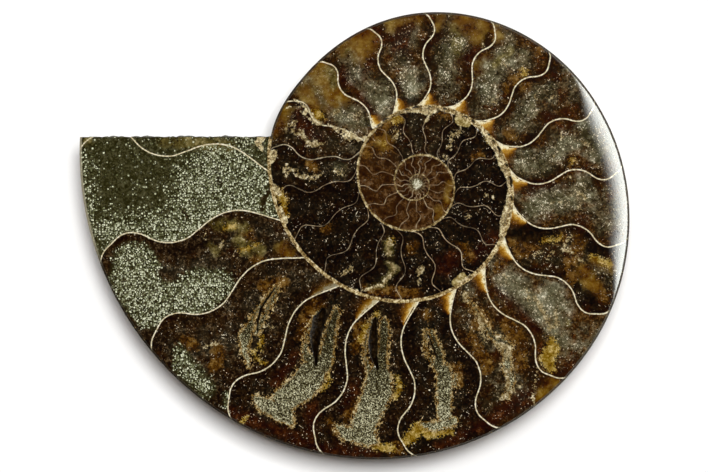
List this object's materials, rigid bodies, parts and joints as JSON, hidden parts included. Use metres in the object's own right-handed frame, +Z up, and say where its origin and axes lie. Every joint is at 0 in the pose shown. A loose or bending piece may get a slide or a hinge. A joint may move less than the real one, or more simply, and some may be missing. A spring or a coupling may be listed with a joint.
{
  "type": "ammonite fossil half",
  "caption": "Half of an ammonite fossil, sawn through the plane of its coil and polished, lying on its ribbed flank with the cut face up.",
  "frame": {"origin": "on the surface the fossil rests on, under the middle of its outline", "axes": "+Z up and square to the sawn face, +X along the longest side, away from the broken mouth, +Y across, the broken mouth's edge facing it"},
  "size_m": [0.1302, 0.1058, 0.0172],
  "materials": {
    "fossil": "polished calcite and matrix on the cut, worn shell on the flank"
  },
  "bodies": {
    "root": {"ammonite_half": "fossil"}
  },
  "joints": []
}
